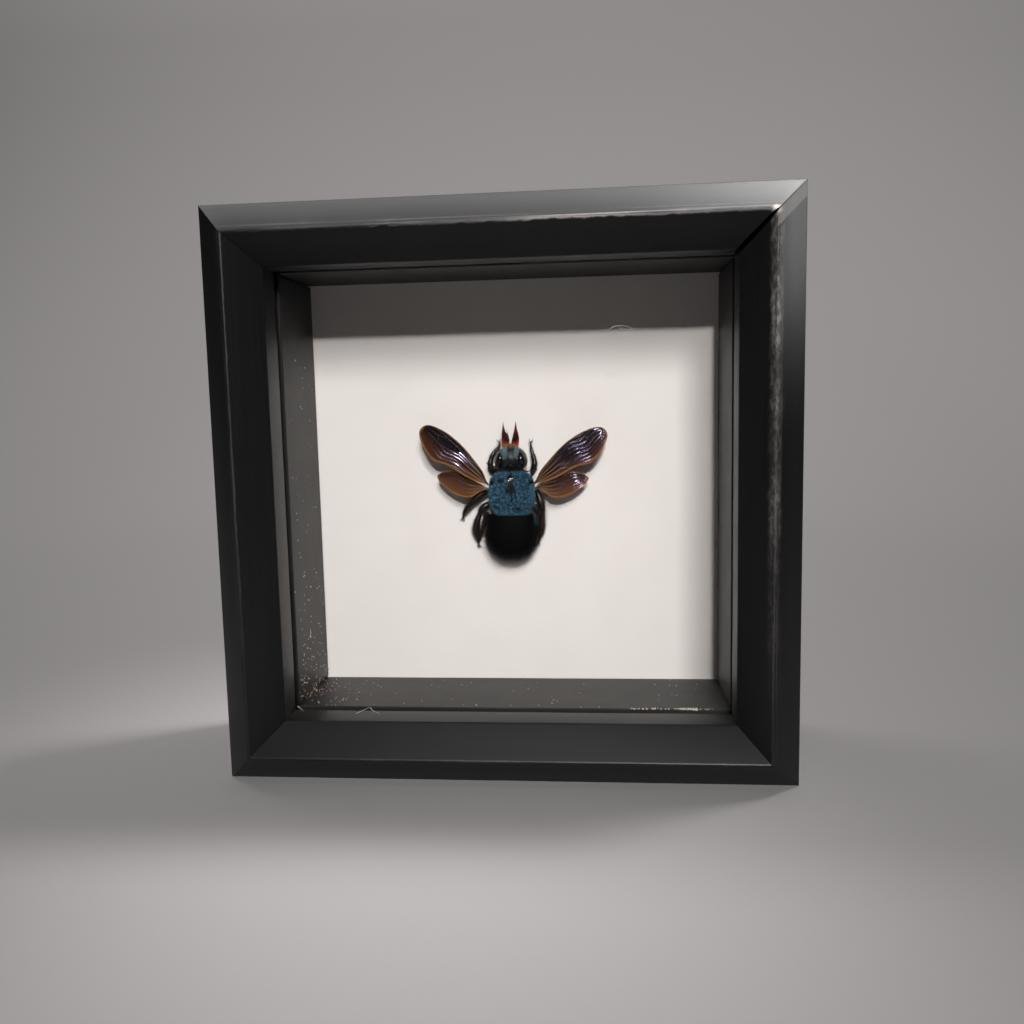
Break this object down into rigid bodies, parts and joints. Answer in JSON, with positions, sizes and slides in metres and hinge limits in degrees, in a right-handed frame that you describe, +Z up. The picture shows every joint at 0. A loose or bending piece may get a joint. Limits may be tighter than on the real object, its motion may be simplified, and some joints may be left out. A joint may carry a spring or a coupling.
{
  "type": "framed carpenter bee specimen",
  "caption": "Deep black box frame with a glass front, holding a dried blue carpenter bee with spread wings on a white card.",
  "frame": {"origin": "centre of the frame's footprint, at the height of the surface that its bottom edge stands on", "axes": "+Z up, -Y out of the glass towards the viewer, +Y towards the wall, +X to the viewer's right"},
  "size_m": [0.122, 0.0486, 0.122],
  "materials": {
    "black_moulding": "black satin paint with fine lines along the moulding, rubbed pale along the ridge",
    "clear_glass": "clear, with a few specks of dust",
    "black_lining": "black satin",
    "white_card": "matt warm white",
    "fibreboard": "raw brown hardboard",
    "point_steel": "stamped steel",
    "hanger_brass": "brass plated steel",
    "blue_hair": "dense short turquoise hair",
    "black_chitin": "shiny black, edged with black hair",
    "smoky_wing": "thin dark brown membrane with a violet sheen and amber edges",
    "red_chitin": "glossy dark red-brown, orange at the base"
  },
  "bodies": {
    "root": {"rail_top": "black_moulding", "rail_bottom": "black_moulding", "rail_left": "black_moulding", "rail_right": "black_moulding", "glass_pane": "clear_glass", "spacer_top": "black_lining", "spacer_bottom": "black_lining", "spacer_left": "black_lining", "spacer_right": "black_lining", "mount_card": "white_card", "back_board": "fibreboard", "retaining_point_1": "point_steel", "retaining_point_2": "point_steel", "retaining_point_3": "point_steel", "retaining_point_4": "point_steel", "sawtooth_hanger": "hanger_brass", "hanger_nail_left": "hanger_brass", "hanger_nail_right": "hanger_brass", "bee_thorax": "blue_hair", "bee_head": "black_chitin", "bee_abdomen": "black_chitin", "mouthpart_left": "red_chitin", "mouthpart_right": "red_chitin", "forewing_left": "smoky_wing", "forewing_right": "smoky_wing", "hindwing_left": "smoky_wing", "hindwing_right": "smoky_wing", "foreleg_left": "black_chitin", "foreleg_right": "black_chitin", "midleg_left": "black_chitin", "midleg_right": "black_chitin", "hindleg_left": "black_chitin", "hindleg_right": "black_chitin"}
  },
  "joints": []
}
